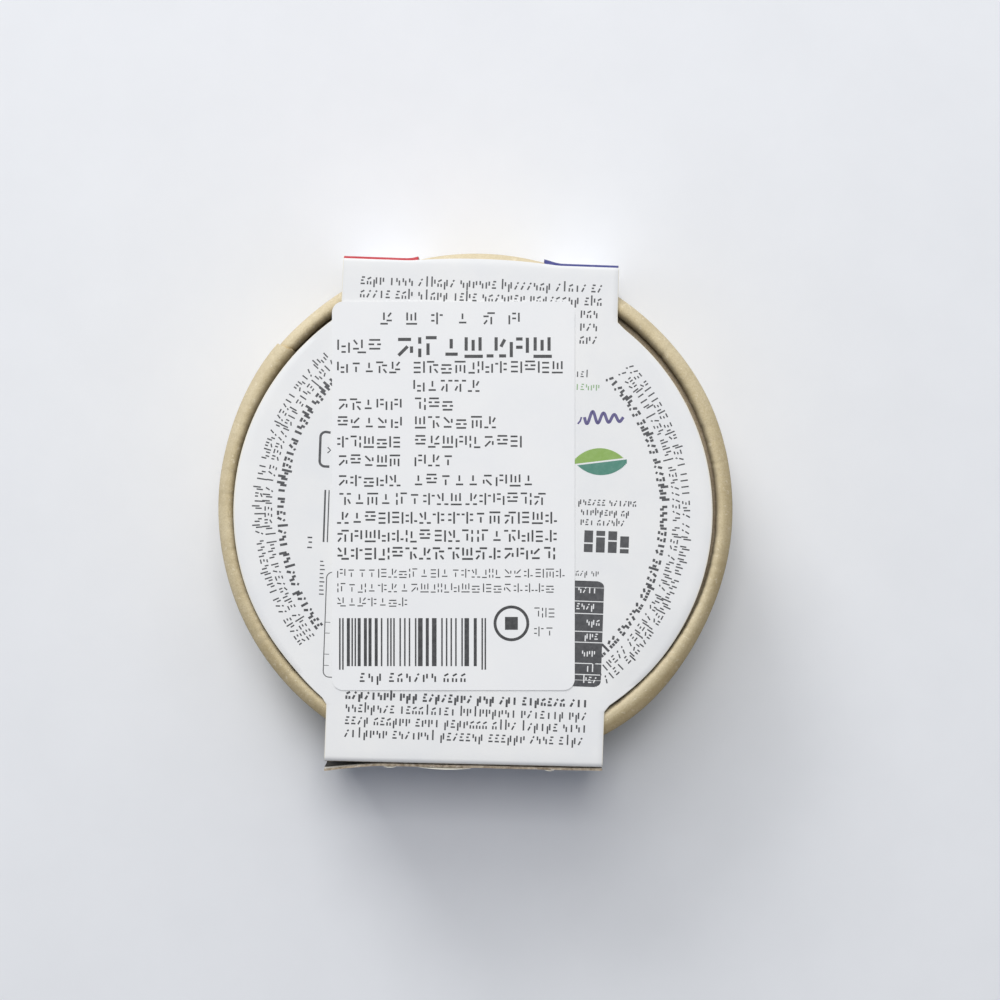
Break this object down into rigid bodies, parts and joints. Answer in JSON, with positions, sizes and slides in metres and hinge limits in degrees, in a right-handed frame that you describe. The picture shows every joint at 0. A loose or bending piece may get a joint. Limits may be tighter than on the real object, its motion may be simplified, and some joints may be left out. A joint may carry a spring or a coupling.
{
  "type": "boxed soft cheese wheel",
  "caption": "Round rolled-rim board box holding a paper-wrapped soft cheese wheel, closed by a white card sleeve with disc faces and a paper label.",
  "frame": {"origin": "on the axis of the round box, in the plane of the sleeve's front face that the pack rests on", "axes": "+Z up along the box's axis, from the front face to the back face with the label; +Y along the sleeve's band towards the end where the rims show through its slot; +X across the band, to the right when the label is read with +Y up"},
  "size_m": [0.088, 0.0884, 0.034],
  "materials": {
    "rind": "white bloomy rind, a soft matt food surface",
    "wrap_paper": "thin waxed white paper",
    "box_strip": "uncoated kraft board strip",
    "box_board": "uncoated grey-brown board",
    "sleeve_card": "coated white card with satin print",
    "label_paper": "smooth white self-adhesive paper"
  },
  "bodies": {
    "root": {"cheese_wheel": "rind", "inner_wrap": "wrap_paper", "base_ring": "box_strip", "base_panel": "box_board", "lid_ring": "box_strip", "lid_panel": "box_board", "sleeve": "sleeve_card", "back_label": "label_paper"}
  },
  "joints": []
}
